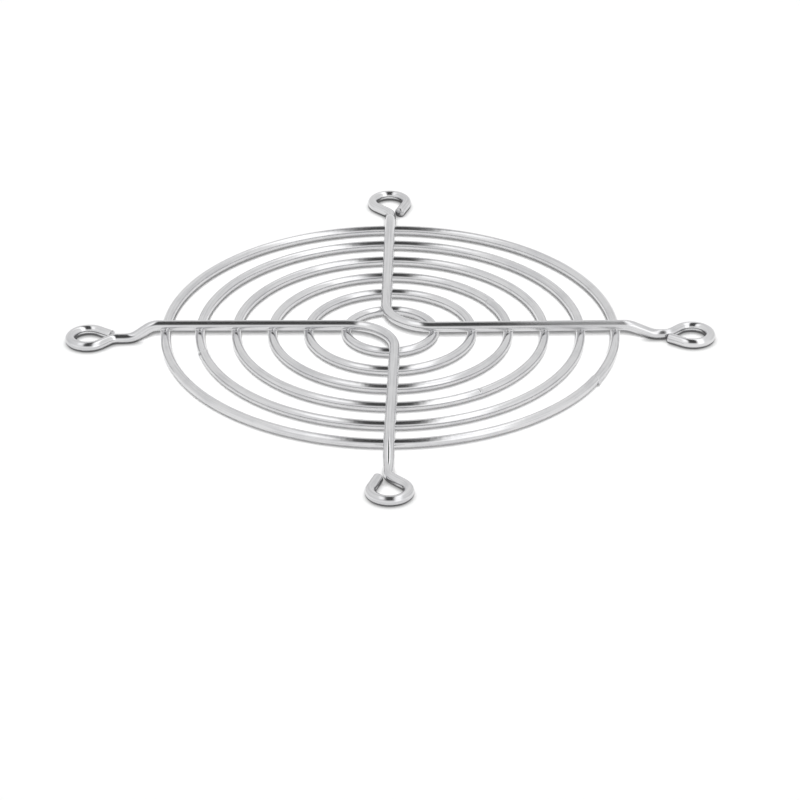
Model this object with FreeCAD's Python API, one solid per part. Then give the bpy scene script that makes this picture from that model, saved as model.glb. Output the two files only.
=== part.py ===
import FreeCAD, Part
import os
from math import atan2, cos, hypot, pi, radians, sin, sqrt, tan

# Welded wire guard for a square fan. All lengths are in millimetres, all angles in degrees.
# Origin: the middle of the four screw eyes, on the face that the eyes sit on. +Z points away from the fan.
# The sides of the fan run along X and Y, so the four arms lie on its diagonals.

# Fastening
hole_spacing = 82.5            # between screw centres, along each side of the fan
eye_hole = 5.0                 # clear width inside a screw eye

# Wire stock
support_wire = 2.0             # diameter of the two supports
ring_wire = 1.8                # diameter of the rings
weld_set_down = 0.55           # how far a support sinks into each ring at a weld

# Rings. Their radii and steps are to the middle of the wire.
ring_to_screw = 14.84          # outermost ring to the screw centres, room for an arm's joggle and its eye
outer_ring_step = 6.7          # outermost ring to the next one in
inner_ring_radius = 8.5
inner_ring_step = 7.3          # innermost ring to the next one out
ring_count = 6                 # the rings between those four are evenly spaced
ring_lift = 1.3                # clear height under the rings
butt_weld_flash = 0.12         # how far a ring's own butt weld stands proud of its wire
butt_weld_width = 0.5
butt_weld_angles = [18.0, 239.0, -11.0, 75.5]    # for the rings whose joint is in plain view, from the outside in

# Supports: each is one wire with two arms, bent through a corner that passes the middle of the guard
corner_radius = 9.0            # of the corner, to the middle of the wire
first_arm_inner_offset = -0.3     # of an arm's line from the diagonal, to its left, at the middle of the guard
first_arm_outer_offset = 0.2      # the same, at the eye
second_arm_inner_offset = 0.8
second_arm_outer_offset = -0.45

# Joggle: each arm steps down outside the rings, to the level of its eye
joggle_gap = 0.55              # from the outermost ring to the start of the joggle
joggle_slope = 33.0
joggle_radius = 4.0

# Eye: the wire swings out to the left of its arm, goes round the hole and comes back to the arm
eye_swing_angle = 45.0
eye_swing_radius = 2.5
first_eye_return_angle = 35.0     # by which the returning end leans in towards the arm
second_eye_return_angle = 20.0
first_eye_end_gap = 0.15          # from the sheared end to the arm
second_eye_end_gap = 0.5

up = FreeCAD.Vector(0, 0, 1)
hole_circle_radius = hypot(hole_spacing, hole_spacing) / 2
outer_ring_radius = hole_circle_radius - ring_to_screw
eye_radius = (eye_hole + support_wire) / 2
eye_height = support_wire / 2
ring_height = ring_lift + ring_wire / 2
arm_height = ring_height + ring_wire / 2 + support_wire / 2 - weld_set_down


def ring_radii():
    """Middle radii of the rings, from the outside in."""
    second = outer_ring_radius - outer_ring_step
    last_but_one = inner_ring_radius + inner_ring_step
    steps = ring_count - 3
    even = [second + (last_but_one - second) * step / steps for step in range(steps + 1)]
    return [outer_ring_radius] + even + [inner_ring_radius]


class FormedWire:
    """A round wire formed from one end to the other, as straight runs and round bends."""

    def __init__(self, diameter, start, heading):
        self.radius = diameter / 2
        self.place = start
        self.heading = heading
        self.lengths = []

    def run(self, length):
        """Go straight on."""
        self.lengths.append(Part.makeCylinder(self.radius, length, self.place, self.heading))
        self.place = self.place + self.heading * length

    def bend(self, axis, bend_radius, angle):
        """Turn about an axis to the left of the heading, or to its right where the angle is negative."""
        side = 1 if angle > 0 else -1
        centre = self.place + axis.cross(self.heading) * bend_radius * side
        section = Part.Face(Part.Wire(Part.makeCircle(self.radius, self.place, self.heading)))
        self.lengths.append(section.revolve(centre, axis, angle))
        turn = FreeCAD.Rotation(axis, angle)
        self.place = centre + turn.multVec(self.place - centre)
        self.heading = turn.multVec(self.heading)

    def solid(self):
        return self.lengths[0].multiFuse(self.lengths[1:]).removeSplitter().Solids[0]


def flat_direction(angle):
    return FreeCAD.Vector(cos(radians(angle)), sin(radians(angle)), 0)


def crossing(place, heading, other_place, other_heading):
    """Where two level lines cross."""
    gap = other_place - place
    along = gap.cross(other_heading).z / heading.cross(other_heading).z
    return place + heading * along


def arm_line(angle, inner_offset, outer_offset):
    """An arm's middle line, as a place abreast of the middle of the guard and a heading outwards."""
    outwards = flat_direction(angle)
    left = up.cross(outwards)
    inner = left * inner_offset
    outer = outwards * hole_circle_radius + left * outer_offset
    return inner, (outer - inner).normalize()


def add_joggle(wire):
    """Step down from the height of the arms to the height of the eyes."""
    drop = arm_height - eye_height
    bend_drop = 1 - cos(radians(joggle_slope))
    largest_share = 0.45     # of the drop that one bend may take, so that a straight run stays between the two
    radius = min(joggle_radius, largest_share * drop / bend_drop)
    across = up.cross(wire.heading)
    wire.bend(across, radius, joggle_slope)
    wire.run((drop - 2 * radius * bend_drop) / sin(radians(joggle_slope)))
    wire.bend(across, radius, -joggle_slope)


def length_to_circle(place, heading, centre, radius):
    """How far a level line goes before it meets a circle, or before it comes nearest to it."""
    ahead = heading.dot(centre - place)
    clear = (centre - place - heading * ahead).Length
    return ahead - sqrt(max(radius * radius - clear * clear, 0))


def add_eye(wire, arm_angle, return_angle, end_gap):
    """Carry the wire round its screw hole, and end it beside its own arm."""
    screw = flat_direction(arm_angle) * hole_circle_radius + up * eye_height
    swing_heading = flat_direction(arm_angle + eye_swing_angle)
    swing_end = screw + up.cross(swing_heading) * eye_radius
    corner = crossing(wire.place, wire.heading, swing_end, swing_heading)
    turn = eye_swing_angle + arm_angle - heading_angle(wire.heading, arm_angle)
    reach = eye_swing_radius * tan(radians(turn / 2))
    wire.run((corner - wire.place).Length - reach)
    swing_centre = wire.place + up.cross(wire.heading) * eye_swing_radius
    wire.bend(up, eye_swing_radius, turn)
    wire.run((swing_end - corner).Length - reach)
    wire.bend(up, eye_radius, -(180 + eye_swing_angle + return_angle))
    inner_edge = wire.place - up.cross(wire.heading) * wire.radius
    wire.run(length_to_circle(inner_edge, wire.heading, swing_centre, eye_swing_radius + wire.radius + end_gap))


def heading_angle(heading, near):
    """The level angle of a heading, given within half a turn of another angle."""
    angle = atan2(heading.y, heading.x) * 180 / pi
    return angle + 360 * round((near - angle) / 360)


def make_support(first_angle):
    """One support: a corner near the middle of the guard, and an arm with a screw eye on each side of it."""
    second_angle = first_angle + 90
    first_place, first_heading = arm_line(first_angle, first_arm_inner_offset, first_arm_outer_offset)
    second_place, second_heading = arm_line(second_angle, second_arm_inner_offset, second_arm_outer_offset)
    corner = crossing(first_place, first_heading, second_place, second_heading) + up * arm_height
    turn = heading_angle(second_heading, second_angle) - heading_angle(first_heading, first_angle)
    reach = corner_radius / tan(radians(turn / 2))
    joggle_start = outer_ring_radius + ring_wire / 2 + joggle_gap

    bend = FormedWire(support_wire, corner + first_heading * reach, first_heading * -1)
    bend.bend(up, corner_radius, -(180 - turn))
    solid = bend.lengths[0]
    arms = (
        (first_heading, first_angle, first_eye_return_angle, first_eye_end_gap),
        (second_heading, second_angle, second_eye_return_angle, second_eye_end_gap),
    )
    for heading, angle, return_angle, end_gap in arms:
        arm = FormedWire(support_wire, corner + heading * reach, heading)
        arm.run(joggle_start - reach - corner.dot(heading))
        add_joggle(arm)
        add_eye(arm, angle, return_angle, end_gap)
        solid = solid.fuse(arm.solid())
    return solid.removeSplitter().Solids[0]


def make_ring(radius, butt_weld_angle, supports):
    """One ring, with its butt weld where that shows, let in under the supports where they are welded to it."""
    middle = up * ring_height
    ring = Part.makeTorus(radius, ring_wire / 2, middle, up)
    if butt_weld_angle is not None:
        width_angle = butt_weld_width / radius * 180 / pi
        flash = Part.makeTorus(radius, ring_wire / 2 + butt_weld_flash, middle, up, -180, 180, width_angle)
        flash.rotate(middle, up, butt_weld_angle - width_angle / 2)
        ring = ring.fuse(flash).removeSplitter()
    return ring.cut(supports).Solids[0]


def main():
    os.makedirs("parts", exist_ok=True)
    front_support = make_support(225)
    rear_support = make_support(45)
    front_support.exportStep("parts/front_support.step")
    rear_support.exportStep("parts/rear_support.step")
    radii = ring_radii()
    butt_welds = butt_weld_angles + [None] * len(radii)
    for number, (radius, butt_weld_angle) in enumerate(zip(radii, butt_welds), start=1):
        ring = make_ring(radius, butt_weld_angle, [front_support, rear_support])
        ring.exportStep(f"parts/ring_{number}.step")
        print(f"ring_{number}", round(radius, 2), ring.isValid(), round(ring.Volume, 2))
    for name, support in (("front_support", front_support), ("rear_support", rear_support)):
        print(name, support.isValid(), round(support.Volume, 2), support.BoundBox)


main()
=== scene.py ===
import math

import bpy
import numpy as np
from mathutils import Euler, Matrix, Vector


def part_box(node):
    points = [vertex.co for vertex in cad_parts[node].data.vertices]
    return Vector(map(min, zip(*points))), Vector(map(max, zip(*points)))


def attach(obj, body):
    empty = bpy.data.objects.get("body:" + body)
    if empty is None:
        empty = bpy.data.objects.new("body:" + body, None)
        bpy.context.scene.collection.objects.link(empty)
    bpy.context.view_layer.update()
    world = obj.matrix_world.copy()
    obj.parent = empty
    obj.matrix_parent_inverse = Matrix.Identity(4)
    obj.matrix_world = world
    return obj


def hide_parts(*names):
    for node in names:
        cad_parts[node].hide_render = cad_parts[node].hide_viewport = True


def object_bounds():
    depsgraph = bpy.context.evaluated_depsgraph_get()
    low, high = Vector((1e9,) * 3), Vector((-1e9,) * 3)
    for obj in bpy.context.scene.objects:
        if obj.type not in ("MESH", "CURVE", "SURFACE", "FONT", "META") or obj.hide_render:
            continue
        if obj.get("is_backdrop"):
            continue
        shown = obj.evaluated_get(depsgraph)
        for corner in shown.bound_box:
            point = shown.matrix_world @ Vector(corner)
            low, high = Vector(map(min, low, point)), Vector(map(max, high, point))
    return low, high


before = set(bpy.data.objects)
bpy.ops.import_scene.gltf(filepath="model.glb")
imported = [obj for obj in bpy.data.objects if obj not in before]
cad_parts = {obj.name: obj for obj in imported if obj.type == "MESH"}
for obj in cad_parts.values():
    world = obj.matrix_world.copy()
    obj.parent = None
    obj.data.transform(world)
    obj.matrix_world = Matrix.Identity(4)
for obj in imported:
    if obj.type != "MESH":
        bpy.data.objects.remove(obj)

mm = 0.001               # the wires are worked out in millimetres, and the scene is in metres
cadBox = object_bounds()
print("frame loaded:", len(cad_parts), "wires")

# Small helpers.


def rgb(hexColour):      # sRGB hex to linear, as the shader sockets want it
    channels = [int(hexColour[i:i + 2], 16) / 255 for i in (1, 3, 5)]
    linear = [c / 12.92 if c <= 0.04045 else ((c + 0.055) / 1.055) ** 2.4 for c in channels]
    return (*linear, 1.0)


def addNode(tree, kind, values=None, links=None, **settings):
    # values: input socket -> fixed value; links: input socket -> the output socket that feeds it.
    # A Mix node's sockets go by number: 0 is the share, 2 and 3 are its numbers, 6 and 7 its colours.
    node = tree.nodes.new(kind)
    for name, value in settings.items():
        setattr(node, name, value)
    for name, value in (values or {}).items():
        node.inputs[name].default_value = value
    for name, socket in (links or {}).items():
        tree.links.new(socket, node.inputs[name])
    return node


def smoothStep(x):       # 0 below 0, 1 above 1, and 3x^2 - 2x^3 between
    x = np.clip(x, 0, 1)
    return x * x * (3 - 2 * x)


# Middle lines of the wires, in mm. Seen from above a wire is a curve of complex numbers x + iy, and its
# height is a function of the way out along its arm.

eyes = dict(
    spacing=82.5,        # between screw centres, along each side of the fan
    hole=5.0,            # clear width
    swing=45.0,          # degrees that the wire turns off its arm before it goes round the hole
    swingRadius=2.5,     # of that turn
)
supports = dict(
    wire=2.0,
    cornerRadius=9.0,    # of the bend that joins two arms near the middle
    cornerSamples=200,
    joggleGap=0.55,      # from the outermost ring to the start of the step down
    setDown=0.55,        # how far the supports sink into the rings at the welds
    bendEase=0.3,        # reach of the average that lets every bend start gently
    stepShare=0.6,       # of a ring's widest step between sections, because of the tighter bends
    around=48,           # corners of a section
)
# The four arms, in mm and degrees. They are bent by hand, so none is quite like the drawing or like another.
# inner, outer: its line off the diagonal, at the middle and at the eye
# slope, bend: of the step down, and the radius of both of its bends
# aside: how far it is bent to its left there
# eyeOut, eyeLeft: its eye off the screw
# lean, endGap: of the free end, as it comes back to the arm
# dome: how far that end's sheared face bulges
leftArm = dict(inner=0.05, outer=-0.1, slope=34.0, bend=3.6, aside=0.65,
               eyeOut=0.1, eyeLeft=0.35, lean=35.0, endGap=0.15, dome=0.2)
frontArm = dict(inner=1.1, outer=-0.7, slope=33.0, bend=4.0, aside=0.1,
                eyeOut=0.18, eyeLeft=-0.18, lean=20.0, endGap=0.5, dome=0.4)
rightArm = dict(inner=-1.0, outer=-0.1, slope=27.0, bend=5.0, aside=0.75,
                eyeOut=0.19, eyeLeft=0.19, lean=35.0, endGap=0.15, dome=0.14)
backArm = dict(inner=0.95, outer=-0.3, slope=33.0, bend=4.0, aside=0.0,
               eyeOut=0.15, eyeLeft=0.09, lean=20.0, endGap=0.5, dome=0.6)

rings = dict(
    names=[name for name in sorted(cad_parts) if name.startswith("ring")],
    wire=1.8,
    start=200.0,         # degrees, where the mesh of a ring begins that has no joint in view
    pastStart=0.02,      # radians further on, so that no joint falls on the first section
    samples=6001,        # of the circle, before its sections are spaced
    around=44,           # corners of a section
)
sampleStep = 0.05        # between samples of a run or a bend
lineStep = 0.06          # between samples of a whole middle line

screwRadius = eyes["spacing"] / math.sqrt(2)
eyeRadius = (eyes["hole"] + supports["wire"]) / 2
eyeHeight = supports["wire"] / 2


def ringPlace(name):
    # Middle radius and height of a ring: half a wire in from the sides and the bottom of its CAD node's box.
    low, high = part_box(name)
    radius = (high.x - low.x) / mm / 2 - rings["wire"] / 2
    return radius, low.z / mm + rings["wire"] / 2


ringRadii = {name: ringPlace(name)[0] for name in rings["names"]}
# the highest, because a butt joint's flash makes some boxes lower
ringHeight = max(ringPlace(name)[1] for name in rings["names"])
armHeight = ringHeight + rings["wire"] / 2 + supports["wire"] / 2 - supports["setDown"]
joggleStart = ringRadii["ring_1"] + rings["wire"] / 2 + supports["joggleGap"]


def lineCross(place, ahead, otherPlace, otherAhead):
    # Where two flat lines meet: place + ahead * t, t being cross(gap, otherAhead) / cross(ahead, otherAhead).
    gap = otherPlace - place
    return place + ahead * (gap * np.conj(otherAhead)).imag / (ahead * np.conj(otherAhead)).imag


def flatRun(place, ahead, length):
    # place + ahead * t, for t from 0 to length
    return place + ahead * np.linspace(0, length, max(2, int(length / sampleStep)))


def flatBend(place, ahead, radius, degrees):
    # centre + (place - centre) * e^(i t): to the left where degrees is positive
    side = 1j if degrees > 0 else -1j
    centre = place + ahead * side * radius
    samples = max(3, int(radius * abs(math.radians(degrees)) / sampleStep))
    turns = np.linspace(0, math.radians(degrees), samples)
    return centre + (place - centre) * np.exp(1j * turns), ahead * np.exp(1j * turns[-1])


def stepDown(way, arm):
    # Height lost along an arm: an arc r - sqrt(r^2 - x^2), a slope, and the same arc reversed, with no kink.
    radius, slope = arm["bend"], math.radians(arm["slope"])
    drop = armHeight - eyeHeight
    arc = radius * math.sin(slope)
    sagitta = radius * (1 - math.cos(slope))
    level = (drop - 2 * sagitta) / math.tan(slope)
    x = np.clip(way - joggleStart, 0, 2 * arc + level)
    start = radius - np.sqrt(radius ** 2 - np.minimum(x, arc) ** 2)
    middle = np.clip(x - arc, 0, level) * math.tan(slope)
    last = np.maximum(x - arc - level, 0)
    finish = sagitta - (radius - np.sqrt(radius ** 2 - (arc - last) ** 2))
    return start + middle + finish


def armCurve(arm):
    # One arm in its own frame, where the diagonal is the real axis: straight out, aside, round the hole and
    # back, as runs and bends that touch.
    inner, outer = 1j * arm["inner"], screwRadius + 1j * arm["outer"]
    ahead = (outer - inner) / abs(outer - inner)
    swing = np.exp(1j * math.radians(eyes["swing"]))
    eyeStart = screwRadius + arm["eyeOut"] + 1j * arm["eyeLeft"] + 1j * swing * eyeRadius
    bentAside = inner + 1j * ahead * arm["aside"]
    corner = lineCross(bentAside, ahead, eyeStart, swing)
    turn = eyes["swing"] - math.degrees(np.angle(ahead))
    reach = eyes["swingRadius"] * math.tan(math.radians(turn / 2))
    straight = flatRun(inner, ahead, abs(corner - bentAside) - reach)
    pastJoggle = (abs(straight - inner) - joggleStart) / (abs(straight[-1] - inner) - joggleStart)
    straight = straight + 1j * ahead * arm["aside"] * smoothStep(pastJoggle)
    swingCentre = straight[-1] + 1j * ahead * eyes["swingRadius"]
    aside, aheadAside = flatBend(straight[-1], ahead, eyes["swingRadius"], turn)
    link = flatRun(aside[-1], aheadAside, abs(eyeStart - corner) - reach)
    loop, aheadBack = flatBend(link[-1], aheadAside, eyeRadius, -(180 + eyes["swing"] + arm["lean"]))
    # the free end goes on until its inner edge is endGap from the arm's own turn
    edge = loop[-1] - 1j * aheadBack * supports["wire"] / 2
    toCentre = (swingCentre - edge) * np.conj(aheadBack)
    clear = eyes["swingRadius"] + supports["wire"] / 2 + arm["endGap"]
    tail = flatRun(loop[-1], aheadBack, toCentre.real - math.sqrt(max(clear ** 2 - toCentre.imag ** 2, 0)))
    curve = np.concatenate([straight, aside[1:], link[1:], loop[1:], tail[1:]])
    return curve, inner, ahead


def supportLine(firstAngle, arms):
    # Both arms turned to their diagonals and joined by the corner: an arc that touches the two arm lines.
    halves = []
    for arm, angle in zip(arms, (firstAngle, firstAngle + 90)):
        curve, inner, ahead = armCurve(arm)
        turned = np.exp(1j * math.radians(angle))
        halves.append((curve * turned, inner * turned, ahead * turned))
    (curveA, innerA, aheadA), (curveB, innerB, aheadB) = halves
    corner = lineCross(innerA, aheadA, innerB, aheadB)
    between = np.angle(aheadB / aheadA)
    reach = supports["cornerRadius"] / math.tan(between / 2)
    bisector = (aheadA + aheadB) / abs(aheadA + aheadB)
    centre = corner + bisector * supports["cornerRadius"] / math.sin(between / 2)
    fromA = corner + aheadA * reach - centre
    sweep = np.angle((corner + aheadB * reach - centre) / fromA)
    arc = centre + fromA * np.exp(1j * np.linspace(0, sweep, supports["cornerSamples"]))
    pieces = []
    for arm, curve, ahead in ((arms[0], curveA, aheadA), (arms[1], curveB, aheadB)):
        way = (curve * np.conj(ahead)).real
        kept = way > (corner * np.conj(ahead)).real + reach
        pieces.append(np.column_stack([curve.real, curve.imag, armHeight - stepDown(way, arm)])[kept])
    flatArc = np.column_stack([arc.real, arc.imag, np.full(len(arc), armHeight)])
    return np.concatenate([pieces[0][::-1], flatArc, pieces[1]])


def spaced(line, spacing):
    # The same line at steps of the given spacing, which is one number or one for each sample of the line: the
    # new samples stand at even steps of the sum of length / spacing.
    lengths = np.linalg.norm(np.diff(line, axis=0), axis=1)
    along = np.concatenate([[0], np.cumsum(lengths)])
    density = np.broadcast_to(1 / np.asarray(spacing, float), along.shape)
    count = np.concatenate([[0], np.cumsum(lengths * (density[1:] + density[:-1]) / 2)])
    wanted = np.linspace(0, count[-1], int(count[-1]) + 1)
    place = np.interp(wanted, count, along)
    return np.column_stack([np.interp(place, along, line[:, k]) for k in range(3)]), place


def eased(line, reach):
    # Gaussian average over the neighbours, so that a bend starts gently, as in a wire bent with hand tools.
    # Past each end the line is taken to go on as its own reflection in that end.
    step = np.linalg.norm(line[1] - line[0])
    size = int(3 * reach / step)         # further off than three reaches the weights are next to nothing
    weights = np.exp(-0.5 * (np.arange(-size, size + 1) * step / reach) ** 2)
    weights /= weights.sum()
    before = 2 * line[0] - line[1:size + 1][::-1]
    after = 2 * line[-1] - line[-size - 1:-1][::-1]
    padded = np.concatenate([before, line, after])
    return np.column_stack([np.convolve(padded[:, k], weights, "valid") for k in range(3)])


supportArms = {"front_support": (leftArm, frontArm), "rear_support": (rightArm, backArm)}
firstAngles = {"front_support": 225, "rear_support": 45}
supportLines = {name: supportLine(firstAngles[name], arms) for name, arms in supportArms.items()}
for name, line in supportLines.items():
    print("middle line:", name, round(np.linalg.norm(np.diff(line, axis=0), axis=1).sum(), 1), "mm")

# Welds: the wires of a crossing flow into each other.
welds = dict(
    blend=0.3,           # mm, width of the fillet where two wires meet
    lightBlend=0.14,     # mm, the same on the front and back arms, which were welded more lightly
    tallest=0.15,        # mm, the most that a surface moves for it
    margin=0.4,          # mm beyond the blend from which a point may still move
    ringMargin=4.0,      # mm to each side of a ring in which the supports matter to it
    passes=14,           # of the search for the blended surface
    relax=0.6,           # share of the way that each pass goes
    fineReach=1.2,       # mm from a crossing that has the closest sections
    fineFade=2.6,        # mm over which they spread from there
    fineStep=0.09,       # mm between sections close to a weld
    coarseStep=0.34,     # mm between them far from one
)
distancesAtOnce = 4000000    # keeps the arrays small


def distanceToLine(points, line):
    # Distance to the nearest sample of a middle line, found by trying all of them over whole arrays.
    best = np.full(len(points), np.inf)
    parts = max(1, len(points) * len(line) // distancesAtOnce)
    for part in np.array_split(np.arange(len(points)), parts):
        gaps = points[part, None, :] - line[None, :, :]
        best[part] = np.sqrt((gaps ** 2).sum(2).min(1))
    return best


def distanceToRing(points, radius):      # sqrt((flat distance - radius)^2 + (z - height)^2)
    return np.hypot(np.hypot(points[:, 0], points[:, 1]) - radius, points[:, 2] - ringHeight)


def weldSwell(points, normals, otherDistance):
    # Moves each point out along its normal until the smooth minimum of the two wires' distances is nought:
    # min(a, b) - k/4 (1 - |a - b| / k)^2, where a and b are how far the point is outside its own wire and the
    # other, and k is the fillet's width. The front and back arms, where x and y differ in sign, have the less.
    moved = np.zeros(len(points))
    k = np.where(points[:, 0] * points[:, 1] > 0, welds["blend"], welds["lightBlend"])
    for attempt in range(welds["passes"]):
        b = otherDistance(points + normals * moved[:, None])
        smooth = np.minimum(moved, b) - k / 4 * np.maximum(1 - np.abs(moved - b) / k, 0) ** 2
        moved = np.clip(moved - welds["relax"] * smooth, 0, welds["tallest"])
    return moved


def weldField(points, normals, others):
    # How far each point moves out for the welds near it: the most that any of the other wires asks for.
    moved = np.zeros(len(points))
    for other in others:
        near = np.flatnonzero(other(points) < welds["blend"] + welds["margin"])
        if len(near):
            moved[near] = np.maximum(moved[near], weldSwell(points[near], normals[near], other))
    return moved


def crossings(line, radius):             # where a support's middle line passes over a ring, as sample numbers
    beyond = np.hypot(line[:, 0], line[:, 1]) > radius
    return np.flatnonzero(beyond[1:] != beyond[:-1])


weldPlaces = np.array([line[i] for line in supportLines.values()
                       for radius in ringRadii.values() for i in crossings(line, radius)])
print("welds:", len(weldPlaces))


def nearWelds(line):     # 1 within fineReach of a weld, falling to 0 over fineFade
    gaps = np.linalg.norm(line[:, None, :2] - weldPlaces[None, :, :2], axis=2).min(1)
    return smoothStep(1 - (gaps - welds["fineReach"]) / welds["fineFade"])


def wireGrid(line, radius, around, closed):
    # point(s, a) = line(s) + radius (cos a side(s) + sin a top(s)), where top is up, made square to the wire.
    ahead = np.gradient(line, axis=0)
    if closed:
        ahead = np.roll(line, -1, axis=0) - np.roll(line, 1, axis=0)
    ahead /= np.linalg.norm(ahead, axis=1)[:, None]
    top = np.array([0.0, 0.0, 1.0]) - ahead * ahead[:, 2:3]
    top /= np.linalg.norm(top, axis=1)[:, None]
    side = np.cross(ahead, top)          # to the right of the way along
    turns = 2 * np.pi * np.arange(around) / around
    normals = np.cos(turns)[None, :, None] * side[:, None, :] + np.sin(turns)[None, :, None] * top[:, None, :]
    return line[:, None, :] + radius * normals, normals, turns, ahead


def makeWire(name, grid, closed, along, turns, radius, weldMask, rubbed):
    # Quads between neighbouring sections, with a fan to a middle point at each cut end.
    # Its wirePlace attribute is (radius cos a, radius sin a, way along) in mm, for patterns along the wire.
    sections, around = grid.shape[:2]
    points = grid.reshape(-1, 3)
    i = np.arange(sections if closed else sections - 1)[:, None]
    j = np.arange(around)[None, :]
    nextI, nextJ = (i + 1) % sections, (j + 1) % around
    corners = [i * around + j, nextI * around + j, nextI * around + nextJ, i * around + nextJ]
    faces = np.stack(corners, -1).reshape(-1, 4).tolist()
    placeParts = (radius * np.cos(turns)[None, :], radius * np.sin(turns)[None, :], along[:, None])
    wirePlace = np.stack(np.broadcast_arrays(*placeParts), -1).reshape(-1, 3)
    weldMask = weldMask.reshape(-1)
    rubbed = np.repeat(rubbed, around)
    if not closed:
        middles = np.stack([grid[0].mean(0), grid[-1].mean(0)])
        first, last = len(points), len(points) + 1
        k = np.arange(around)
        startFan = np.stack([np.full(around, first), k, (k + 1) % around], -1)
        endRow = (sections - 1) * around
        endFan = np.stack([np.full(around, last), endRow + (k + 1) % around, endRow + k], -1)
        faces += startFan.tolist() + endFan.tolist()
        points = np.concatenate([points, middles])
        wirePlace = np.concatenate([wirePlace, [[0, 0, along[0]], [0, 0, along[-1]]]])
        weldMask = np.concatenate([weldMask, weldMask[[0, -1]]])
        rubbed = np.concatenate([rubbed, rubbed[[0, -1]]])
    mesh = bpy.data.meshes.new(name)
    mesh.from_pydata((points * mm).tolist(), [], faces)
    mesh.attributes.new("wirePlace", "FLOAT_VECTOR", "POINT").data.foreach_set("vector", wirePlace.ravel())
    mesh.attributes.new("weldMask", "FLOAT", "POINT").data.foreach_set("value", weldMask)
    mesh.attributes.new("rubbed", "FLOAT", "POINT").data.foreach_set("value", rubbed)
    mesh.polygons.foreach_set("use_smooth", [True] * len(mesh.polygons))
    mesh.update()
    piece = bpy.data.objects.new(name, mesh)
    bpy.context.scene.collection.objects.link(piece)
    return piece


# Butt joint of each ring, where it shows, in degrees and mm: its angle, the sideways step between the two
# ends, its flash, and its burr's height and place round the wire.
buttJoints = {
    "ring_1": dict(angle=18.0, step=0.10, flash=0.07, burr=0.22, burrAround=-25.0),
    "ring_2": dict(angle=239.0, step=-0.05, flash=0.09, burr=0.20, burrAround=10.0),
    "ring_3": dict(angle=-11.0, step=0.03, flash=0.05, burr=0.05, burrAround=60.0),
    "ring_4": dict(angle=75.5, step=0.08, flash=0.04, burr=0.05, burrAround=170.0),
}
# What they have in common.
buttShape = dict(
    reach=1.6,           # from a joint that has the closest sections
    stepLength=0.12,     # along the wire, in which one end gives way to the other
    stepFade=4.0,        # over which the two ends come back in line
    flashWidth=0.16,
    lumps=3,             # of the flash, round the wire
    lumpShare=0.3,       # of its height that they make
    burrAlong=0.08,      # from the joint to the burr
    burrLength=0.2,
    burrSpread=22.0,     # degrees round the wire
)


def joinEnds(circle, outwards, radius, joint):
    # Sets the two ends a little off each other: circle + outwards step tanh(off / length) e^(-|off| / fade),
    # where off is how far a section is past the joint.
    flat = circle[:, 0] + 1j * circle[:, 1]
    off = np.angle(flat * np.exp(-1j * math.radians(joint["angle"]))) * radius
    fading = np.exp(-np.abs(off) / buttShape["stepFade"])
    aside = joint["step"] * np.tanh(off / buttShape["stepLength"]) * fading
    return circle + outwards * aside[:, None], off


def jointSwell(joint, off, aroundAngle):
    # Metal that was squeezed out: flash, as e^-(off / width)^2 with lumps round the wire, and a burr, as a
    # bell curve both along the wire and round it.
    share = buttShape["lumpShare"]
    lumpy = 1 - share + share * np.sin(np.radians(buttShape["lumps"] * aroundAngle))
    flash = joint["flash"] * np.exp(-(off / buttShape["flashWidth"]) ** 2) * lumpy
    fromBurr = (aroundAngle - joint["burrAround"] + 180) % 360 - 180
    alongBurr = (off - buttShape["burrAlong"]) / buttShape["burrLength"]
    return flash + joint["burr"] * np.exp(-alongBurr ** 2 - (fromBurr / buttShape["burrSpread"]) ** 2)


def buildRing(name):
    # A round section carried round a circle, then moved out along its normals for the joint and the welds.
    radius = ringRadii[name]
    wire = rings["wire"] / 2
    joint = buttJoints.get(name)
    startAngle = joint["angle"] if joint else rings["start"]
    turn = np.linspace(0, 2 * np.pi, rings["samples"]) + math.radians(startAngle) + rings["pastStart"]
    circle = np.column_stack([radius * np.cos(turn), radius * np.sin(turn), np.full(len(turn), ringHeight)])
    near = nearWelds(circle)
    if joint:
        fromJoint = np.abs((turn - math.radians(joint["angle"]) + np.pi) % (2 * np.pi) - np.pi) * radius
        near = np.maximum(near, smoothStep(buttShape["reach"] - fromJoint))
    line, along = spaced(circle, welds["coarseStep"] + (welds["fineStep"] - welds["coarseStep"]) * near)
    line, along = line[:-1], along[:-1]      # the last section is the first one again
    outwards = line * (1, 1, 0) / radius
    if joint:
        line, off = joinEnds(line, outwards, radius, joint)
    grid, normals, turns = wireGrid(line, wire, rings["around"], True)[:3]
    points, normals = grid.reshape(-1, 3), normals.reshape(-1, 3)
    if joint:
        sideways = (normals * np.repeat(outwards, rings["around"], 0)).sum(1)
        aroundAngle = np.degrees(np.arctan2(normals[:, 2], sideways))
        points = points + normals * jointSwell(joint, np.repeat(off, rings["around"]), aroundAngle)[:, None]
    lines = [spaced(line, lineStep)[0] for line in supportLines.values()]
    close = [part[np.abs(np.hypot(part[:, 0], part[:, 1]) - radius) < welds["ringMargin"]] for part in lines]
    others = [lambda p, part=part: distanceToLine(p, part) - supports["wire"] / 2 for part in close]
    moved = weldField(points, normals, others)
    points = (points + normals * moved[:, None]).reshape(grid.shape)
    return makeWire(name + "_wire", points, True, along, turns, wire, moved / welds["tallest"], 0 * along)


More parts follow.
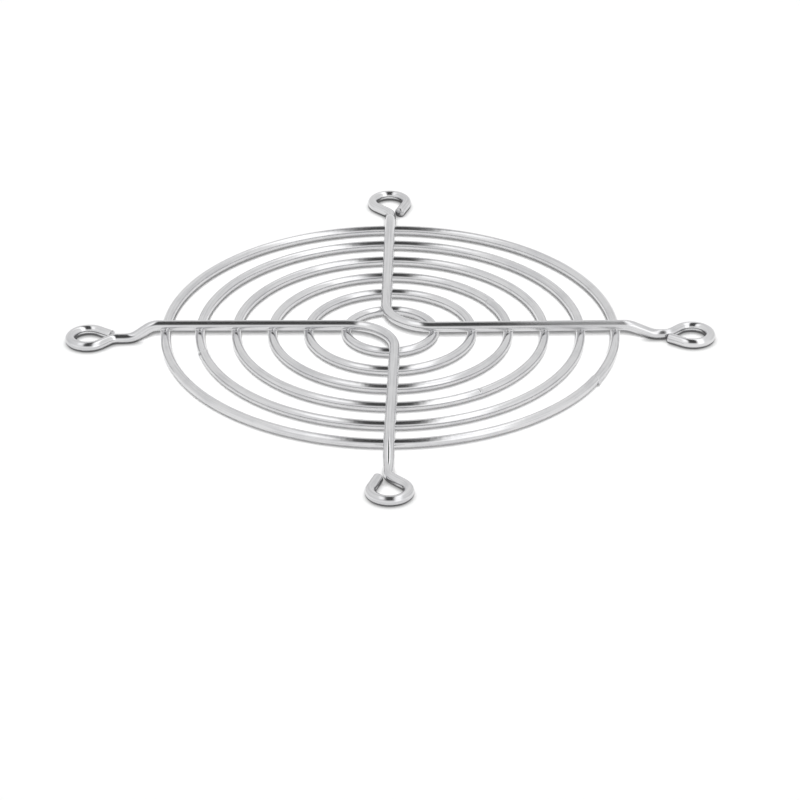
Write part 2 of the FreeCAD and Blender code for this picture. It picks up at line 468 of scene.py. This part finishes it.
# The supports' sheared free ends, row by row from the rim to the middle.
shearedEnd = dict(
    shrink=np.array([0.97, 0.87, 0.6, 0.2]),     # radius of each row, as a share of the wire's
    beyond=np.array([0.05, 0.12, 0.5, 0.8]),     # mm that its pattern is past the rim
    dull=0.7,            # duller than the plated wire, by this share of a weld's dullness
)
rubs = dict(start=14.0, full=37.0, fade=43.0, end=48.5)      # mm out along the right arm, where it is rubbed


def endRows(rim, middle, away, dome):
    # Rows drawn in from the rim and pushed out as an ellipse: dome * sqrt(1 - shrink^2).
    return np.array([middle + (rim - middle) * shrink + away * dome * math.sqrt(1 - shrink ** 2)
                     for shrink in shearedEnd["shrink"]])


def buildSupport(name):
    # A round section carried along the middle line, then moved out along its normals for the welds, between
    # two domed ends.
    wire = supports["wire"] / 2
    line = eased(spaced(supportLines[name], lineStep)[0], supports["bendEase"])
    coarse = welds["coarseStep"] * supports["stepShare"]
    line, along = spaced(line, coarse + (welds["fineStep"] - coarse) * nearWelds(line))
    grid, normals, turns, ahead = wireGrid(line, wire, supports["around"], False)
    shape = grid.shape
    points, normals = grid.reshape(-1, 3), normals.reshape(-1, 3)
    others = [lambda p, radius=radius: distanceToRing(p, radius) - rings["wire"] / 2
              for radius in ringRadii.values()]
    moved = weldField(points, normals, others)
    points = (points + normals * moved[:, None]).reshape(shape)
    moved = moved.reshape(shape[:2])
    firstArm, secondArm = supportArms[name]
    startRows = endRows(points[0], line[0], -ahead[0], firstArm["dome"])[::-1]
    finishRows = endRows(points[-1], line[-1], ahead[-1], secondArm["dome"])
    points = np.concatenate([startRows, points, finishRows])
    dull = np.full(startRows.shape[:2], shearedEnd["dull"] * welds["tallest"])
    moved = np.concatenate([dull, moved, dull])
    along = np.concatenate([along[0] - shearedEnd["beyond"][::-1], along, along[-1] + shearedEnd["beyond"]])
    # Handling has rubbed the right arm's plating duller, more and more towards its step down.
    middles = points.mean(1)
    outAlong = (middles[:, 0] + middles[:, 1]) / math.sqrt(2)
    rubbed = smoothStep((outAlong - rubs["start"]) / (rubs["full"] - rubs["start"]))
    rubbed *= smoothStep((rubs["end"] - outAlong) / (rubs["end"] - rubs["fade"]))
    return makeWire(name + "_wire", points, False, along, turns, wire, moved / welds["tallest"], rubbed)


# Bright chromium over drawn steel wire. To the eye it is a mirror, with fine lines along the wire from the
# die that it was drawn through, a slight orange peel from the plating, and a duller look in the weld fillets,
# on the sheared ends and where it is rubbed.

plating = dict(
    bright="#D4D4D5",    # clear plating
    soft="#C6C6C8",      # hazy plating
    weldColour="#ABABAC",
    roughness=0.10, hazeRoughness=0.18, weldRoughness=0.28, rubbedRoughness=0.38,
    dieLine=0.22,        # mm between drawing lines, drawn coarser than the real 0.02 mm so that they show
    lineSqueeze=0.02,    # of that pattern along the wire, where it comes out as long streaks
    lineDepth=0.0022,    # mm
    lineDetail=2.0,
    peel=1.1,            # mm across one swell of the orange peel
    peelDepth=0.009,     # mm
    peelDetail=1.0,
    cloud=7.0,           # mm across a hazy patch
    cloudDetail=4.0,
    cloudRoughness=0.6,
    hazeFrom=0.85, hazeTo=1.25,      # of the lines and the clouds added, each of them 0 to 1
    weldFrom=0.25,       # of a fillet's full height, where it starts to look dull
    scuffFrom=0.3, scuffTo=0.7,      # of the lines, between the least and the most rubbed streaks
    leastScuff=0.55,
)


def platedWire():
    material = bpy.data.materials.new("bright chromium on drawn wire")
    material.use_nodes = True
    tree = material.node_tree
    tree.nodes.clear()
    place = addNode(tree, "ShaderNodeAttribute", attribute_name="wirePlace").outputs["Vector"]
    weld = addNode(tree, "ShaderNodeAttribute", attribute_name="weldMask").outputs["Fac"]
    rubbed = addNode(tree, "ShaderNodeAttribute", attribute_name="rubbed").outputs["Fac"]
    coords = addNode(tree, "ShaderNodeTexCoord").outputs["Object"]
    # patterns: wirePlace is in mm, and object coordinates are in m
    drawn = addNode(tree, "ShaderNodeMapping", {"Scale": (1, 1, plating["lineSqueeze"])}, {"Vector": place})
    lines = addNode(tree, "ShaderNodeTexNoise",
                    {"Scale": 1 / plating["dieLine"], "Detail": plating["lineDetail"]},
                    {"Vector": drawn.outputs["Vector"]}).outputs["Fac"]
    clouds = addNode(tree, "ShaderNodeTexNoise",
                     {"Scale": 1 / (plating["cloud"] * mm), "Detail": plating["cloudDetail"],
                      "Roughness": plating["cloudRoughness"]}, {"Vector": coords}).outputs["Fac"]
    peel = addNode(tree, "ShaderNodeTexNoise",
                   {"Scale": 1 / (plating["peel"] * mm), "Detail": plating["peelDetail"]},
                   {"Vector": coords}).outputs["Fac"]
    # colour: hazy where lines and clouds add up, and duller in the fillets
    both = addNode(tree, "ShaderNodeMath", None, {0: lines, 1: clouds}, operation="ADD").outputs["Value"]
    hazy = addNode(tree, "ShaderNodeMapRange",
                   {"From Min": plating["hazeFrom"], "From Max": plating["hazeTo"]},
                   {"Value": both}, interpolation_type="SMOOTHSTEP").outputs["Result"]
    dull = addNode(tree, "ShaderNodeMapRange", {"From Min": plating["weldFrom"]},
                   {"Value": weld}).outputs["Result"]
    plain = addNode(tree, "ShaderNodeMix", {6: rgb(plating["bright"]), 7: rgb(plating["soft"])}, {0: hazy},
                    data_type="RGBA").outputs[2]
    colour = addNode(tree, "ShaderNodeMix", {7: rgb(plating["weldColour"])}, {0: dull, 6: plain},
                     data_type="RGBA").outputs[2]
    # roughness: the rubbed stretch is streaked by the drawing lines, as scratches follow them
    hazyRough = addNode(tree, "ShaderNodeMapRange",
                        {"To Min": plating["roughness"], "To Max": plating["hazeRoughness"]},
                        {"Value": hazy}).outputs["Result"]
    streaked = addNode(tree, "ShaderNodeMapRange",
                       {"From Min": plating["scuffFrom"], "From Max": plating["scuffTo"],
                        "To Min": plating["leastScuff"]}, {"Value": lines}).outputs["Result"]
    scuffed = addNode(tree, "ShaderNodeMath", None, {0: rubbed, 1: streaked},
                      operation="MULTIPLY").outputs["Value"]
    rubbedRough = addNode(tree, "ShaderNodeMapRange", {"To Max": plating["rubbedRoughness"]},
                          {"Value": scuffed, "To Min": hazyRough}).outputs["Result"]
    rough = addNode(tree, "ShaderNodeMapRange", {"To Max": plating["weldRoughness"]},
                    {"Value": dull, "To Min": rubbedRough}).outputs["Result"]
    # relief, with its depths in metres as the scene is
    lineBump = addNode(tree, "ShaderNodeBump", {"Distance": plating["lineDepth"] * mm}, {"Height": lines})
    peelBump = addNode(tree, "ShaderNodeBump", {"Distance": plating["peelDepth"] * mm},
                       {"Height": peel, "Normal": lineBump.outputs["Normal"]})
    shader = addNode(tree, "ShaderNodeBsdfPrincipled", {"Metallic": 1.0},
                     {"Base Color": colour, "Roughness": rough, "Normal": peelBump.outputs["Normal"]})
    addNode(tree, "ShaderNodeOutputMaterial", None, {"Surface": shader.outputs["BSDF"]})
    return material


plated = platedWire()
for name in sorted(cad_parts):
    piece = buildRing(name) if name in ringRadii else buildSupport(name)
    piece.data.materials.append(plated)
    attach(piece, "root")
    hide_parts(name)
    print("wire:", name, len(piece.data.polygons), "faces")


# Floor and light. The whites are the paper and the backdrop, so the lamps stay at a plain level.
# In the metal the studio is white all round, but for a black flag overhead with a brighter panel beside it on
# the left and on the right.

studio = dict(
    side=45.0,           # degrees, the camera's side of the studio, from -Y towards +X
    floorSize=6.0,       # m
    floorColour="#F4F4F4",
    shadeSamples=10,
    fill=0.145,          # of the room on matt surfaces
    keyStrength=4.66,    # of the lamps together
    keyHeights=(33.0, 37.5, 43.0),   # degrees over the floor: a tall narrow lamp, as three
    keySize=7.0,         # degrees across each, which softens the shadows
    nearWall=1.07, farWall=0.93,     # in the metal
    wallFade=(60.0, 150.0),          # degrees from the camera's side over the top, from one wall to the other
    meeting=1.05,        # the panels' edges are straight in plan and run together here, on the far side
)
# The paper's shade close to the wires: first as the camera sees it, round what touches the paper, and then as
# the metal shows it, under all the wires.
paperShade = dict(
    reach=(1.4 * mm, 2.4 * mm),
    dark=(0.15, 0.57),   # openness of the paper that already looks darkest
    clear=(0.92, 0.77),  # and that already looks clear
    least=(0.35, 0.14),  # brightness left where it is darkest
    glow=(0.06, 1.1),    # of the paper by itself: a little to the camera, and plain white in the metal
)
# Per panel: its brightness; its edges, as degrees to the right of the line to the point where the panels
# meet, and their blur; and how far it reaches, in degrees from the camera's side over the top, with the blur
# of its two ends.
rightPanel = dict(level=1.70, left=11.5, right=27.0, edge=4.0, near=12.0, far=138.0, endEdge=26.0)
leftPanel = dict(level=1.50, left=-24.0, right=-11.0, edge=4.0, near=56.0, far=114.0, endEdge=16.0)
flag = dict(level=0.08, left=-10.5, right=10.0, edge=3.5, near=35.0, far=131.0, endEdge=20.0)


def reflected(tree, path):    # 1 for what a metal or a glass shows, as the greater of the two rays' marks
    rays = {0: path.outputs["Is Glossy Ray"], 1: path.outputs["Is Transmission Ray"]}
    return addNode(tree, "ShaderNodeMath", None, rays, operation="MAXIMUM").outputs["Value"]


def makeFloor():
    # A level square of matt paper. Its colour and its glow are both scaled by how open it is to the sky.
    half = studio["floorSize"] / 2
    corners = [(-half, -half, 0), (half, -half, 0), (half, half, 0), (-half, half, 0)]
    mesh = bpy.data.meshes.new("floor")
    mesh.from_pydata(corners, [], [(0, 1, 2, 3)])
    floor = bpy.data.objects.new("floor", mesh)
    bpy.context.scene.collection.objects.link(floor)
    material = bpy.data.materials.new("white paper")
    material.use_nodes = True
    tree = material.node_tree
    tree.nodes.clear()
    inMetal = reflected(tree, addNode(tree, "ShaderNodeLightPath"))
    chosen = {}
    for name, (toCamera, toMetal) in paperShade.items():
        chosen[name] = addNode(tree, "ShaderNodeMapRange", {"To Min": toCamera, "To Max": toMetal},
                               {"Value": inMetal}).outputs["Result"]
    shade = addNode(tree, "ShaderNodeAmbientOcclusion", None, {"Distance": chosen["reach"]},
                    samples=studio["shadeSamples"])
    openness = addNode(tree, "ShaderNodeMapRange", None,
                       {"Value": shade.outputs["AO"], "From Min": chosen["dark"], "From Max": chosen["clear"],
                        "To Min": chosen["least"]}, interpolation_type="SMOOTHSTEP").outputs["Result"]
    colour = addNode(tree, "ShaderNodeMix", {6: (0, 0, 0, 1), 7: rgb(studio["floorColour"])}, {0: openness},
                     data_type="RGBA").outputs[2]
    paper = addNode(tree, "ShaderNodeBsdfDiffuse", None, {"Color": colour})
    strength = addNode(tree, "ShaderNodeMath", None, {0: chosen["glow"], 1: openness}, operation="MULTIPLY")
    glow = addNode(tree, "ShaderNodeEmission", {"Color": (1, 1, 1, 1)},
                   {"Strength": strength.outputs["Value"]}).outputs["Emission"]
    seen = addNode(tree, "ShaderNodeAddShader", None, {0: paper.outputs["BSDF"], 1: glow})
    both = addNode(tree, "ShaderNodeMixShader", None, {0: inMetal, 1: seen.outputs["Shader"], 2: glow})
    addNode(tree, "ShaderNodeOutputMaterial", None, {"Surface": both.outputs["Shader"]})
    mesh.materials.append(material)
    floor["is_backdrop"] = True


def between(tree, value, low, high, soft):
    # 1 from low to high, in degrees, as the product of two smooth steps that are twice soft wide.
    edges = {}
    for number, (off, on) in enumerate(((low - soft, low + soft), (high + soft, high - soft))):
        edges[number] = addNode(tree, "ShaderNodeMapRange",
                                {"From Min": math.radians(off), "From Max": math.radians(on)},
                                {"Value": value}, interpolation_type="SMOOTHSTEP").outputs["Result"]
    return addNode(tree, "ShaderNodeMath", None, edges, operation="MULTIPLY").outputs["Value"]


def makeRoom():
    # Brightness by direction (x, y, z), turned so that the camera's side is -y. Over the top it goes by
    # over = atan2(z, -y), and across by aside = atan2(x, meeting - y).
    world = bpy.data.worlds.new("studio")
    bpy.context.scene.world = world
    world.use_nodes = True
    tree = world.node_tree
    tree.nodes.clear()
    way = addNode(tree, "ShaderNodeTexCoord").outputs["Generated"]
    turned = addNode(tree, "ShaderNodeMapping", {"Rotation": (0, 0, math.radians(-studio["side"]))},
                     {"Vector": way})
    x, y, z = addNode(tree, "ShaderNodeSeparateXYZ", None, {"Vector": turned.outputs["Vector"]}).outputs
    nearer = addNode(tree, "ShaderNodeMath", {1: -1.0}, {0: y}, operation="MULTIPLY").outputs["Value"]
    over = addNode(tree, "ShaderNodeMath", None, {0: z, 1: nearer}, operation="ARCTAN2").outputs["Value"]
    toMeeting = addNode(tree, "ShaderNodeMath", {0: studio["meeting"]}, {1: y},
                        operation="SUBTRACT").outputs["Value"]
    aside = addNode(tree, "ShaderNodeMath", None, {0: x, 1: toMeeting}, operation="ARCTAN2").outputs["Value"]
    fadeStart, fadeEnd = (math.radians(angle) for angle in studio["wallFade"])
    light = addNode(tree, "ShaderNodeMapRange",
                    {"From Min": fadeStart, "From Max": fadeEnd,
                     "To Min": studio["nearWall"], "To Max": studio["farWall"]},
                    {"Value": over}).outputs["Result"]
    for panel in (rightPanel, leftPanel, flag):
        across = between(tree, aside, panel["left"], panel["right"], panel["edge"])
        lengthwise = between(tree, over, panel["near"], panel["far"], panel["endEdge"])
        inside = addNode(tree, "ShaderNodeMath", None, {0: across, 1: lengthwise}, operation="MULTIPLY")
        light = addNode(tree, "ShaderNodeMix", {3: panel["level"]}, {0: inside.outputs["Value"], 2: light},
                        data_type="FLOAT").outputs[0]
    # matt surfaces get the plain fill, the metal shows the room, and the camera sees plain white
    path = addNode(tree, "ShaderNodeLightPath")
    shown = addNode(tree, "ShaderNodeMix", {2: studio["fill"]}, {0: reflected(tree, path), 3: light},
                    data_type="FLOAT")
    plain = addNode(tree, "ShaderNodeMix", {3: 1.0}, {0: path.outputs["Is Camera Ray"], 2: shown.outputs[0]},
                    data_type="FLOAT")
    glow = addNode(tree, "ShaderNodeBackground", {"Color": (1, 1, 1, 1)}, {"Strength": plain.outputs[0]})
    addNode(tree, "ShaderNodeOutputWorld", None, {"Surface": glow.outputs["Background"]})


def makeKey(height):     # one lamp at infinity, that many degrees over the floor on the camera's side
    lamp = bpy.data.lights.new("key", "SUN")
    lamp.energy = studio["keyStrength"] / len(studio["keyHeights"])
    lamp.angle = math.radians(studio["keySize"])
    key = bpy.data.objects.new("key", lamp)
    key.rotation_euler = Euler((math.radians(90 - height), 0, math.radians(studio["side"])))
    key.visible_glossy = False       # the metal shows the room, not the lamp
    bpy.context.scene.collection.objects.link(key)


makeFloor()
makeRoom()
for height in studio["keyHeights"]:
    makeKey(height)
print("studio: paper, room and", len(studio["keyHeights"]), "lamps")


# Camera: the photograph's view, found from the rings and the eyes.
shot = dict(
    side=44.856,         # degrees, from -Y towards +X
    height=29.314,       # degrees over the floor
    roll=-0.102,         # degrees
    distance=684.7,      # mm
    aim=(20.56, -18.02, 2.2),    # mm
    lens=164.76, sensor=36.0,    # mm
    nearest=0.01, furthest=100.0,    # m, of what it shows
)


def makeCamera():        # turned by side, height and roll, then drawn back from the aim along its own axis
    data = bpy.data.cameras.new("camera")
    data.lens, data.sensor_width = shot["lens"], shot["sensor"]
    data.clip_start, data.clip_end = shot["nearest"], shot["furthest"]
    camera = bpy.data.objects.new("camera", data)
    turn = Euler((math.radians(90 - shot["height"]), 0, math.radians(shot["side"]))).to_matrix().to_4x4()
    turn = turn @ Matrix.Rotation(math.radians(shot["roll"]), 4, "Z")
    back = turn.to_3x3() @ Vector((0, 0, 1))
    place = Vector(shot["aim"]) * mm + back * shot["distance"] * mm
    camera.matrix_world = Matrix.Translation(place) @ turn
    bpy.context.scene.collection.objects.link(camera)
    bpy.context.scene.camera = camera


makeCamera()
bpy.context.scene.view_settings.view_transform = "Standard"
print("camera:", shot["distance"], "mm from the guard")

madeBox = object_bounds()
sizesInMm = [[round(v / mm, 2) for v in high - low] for low, high in (cadBox, madeBox)]
print("size of the CAD model and of this one, in mm:", sizesInMm)
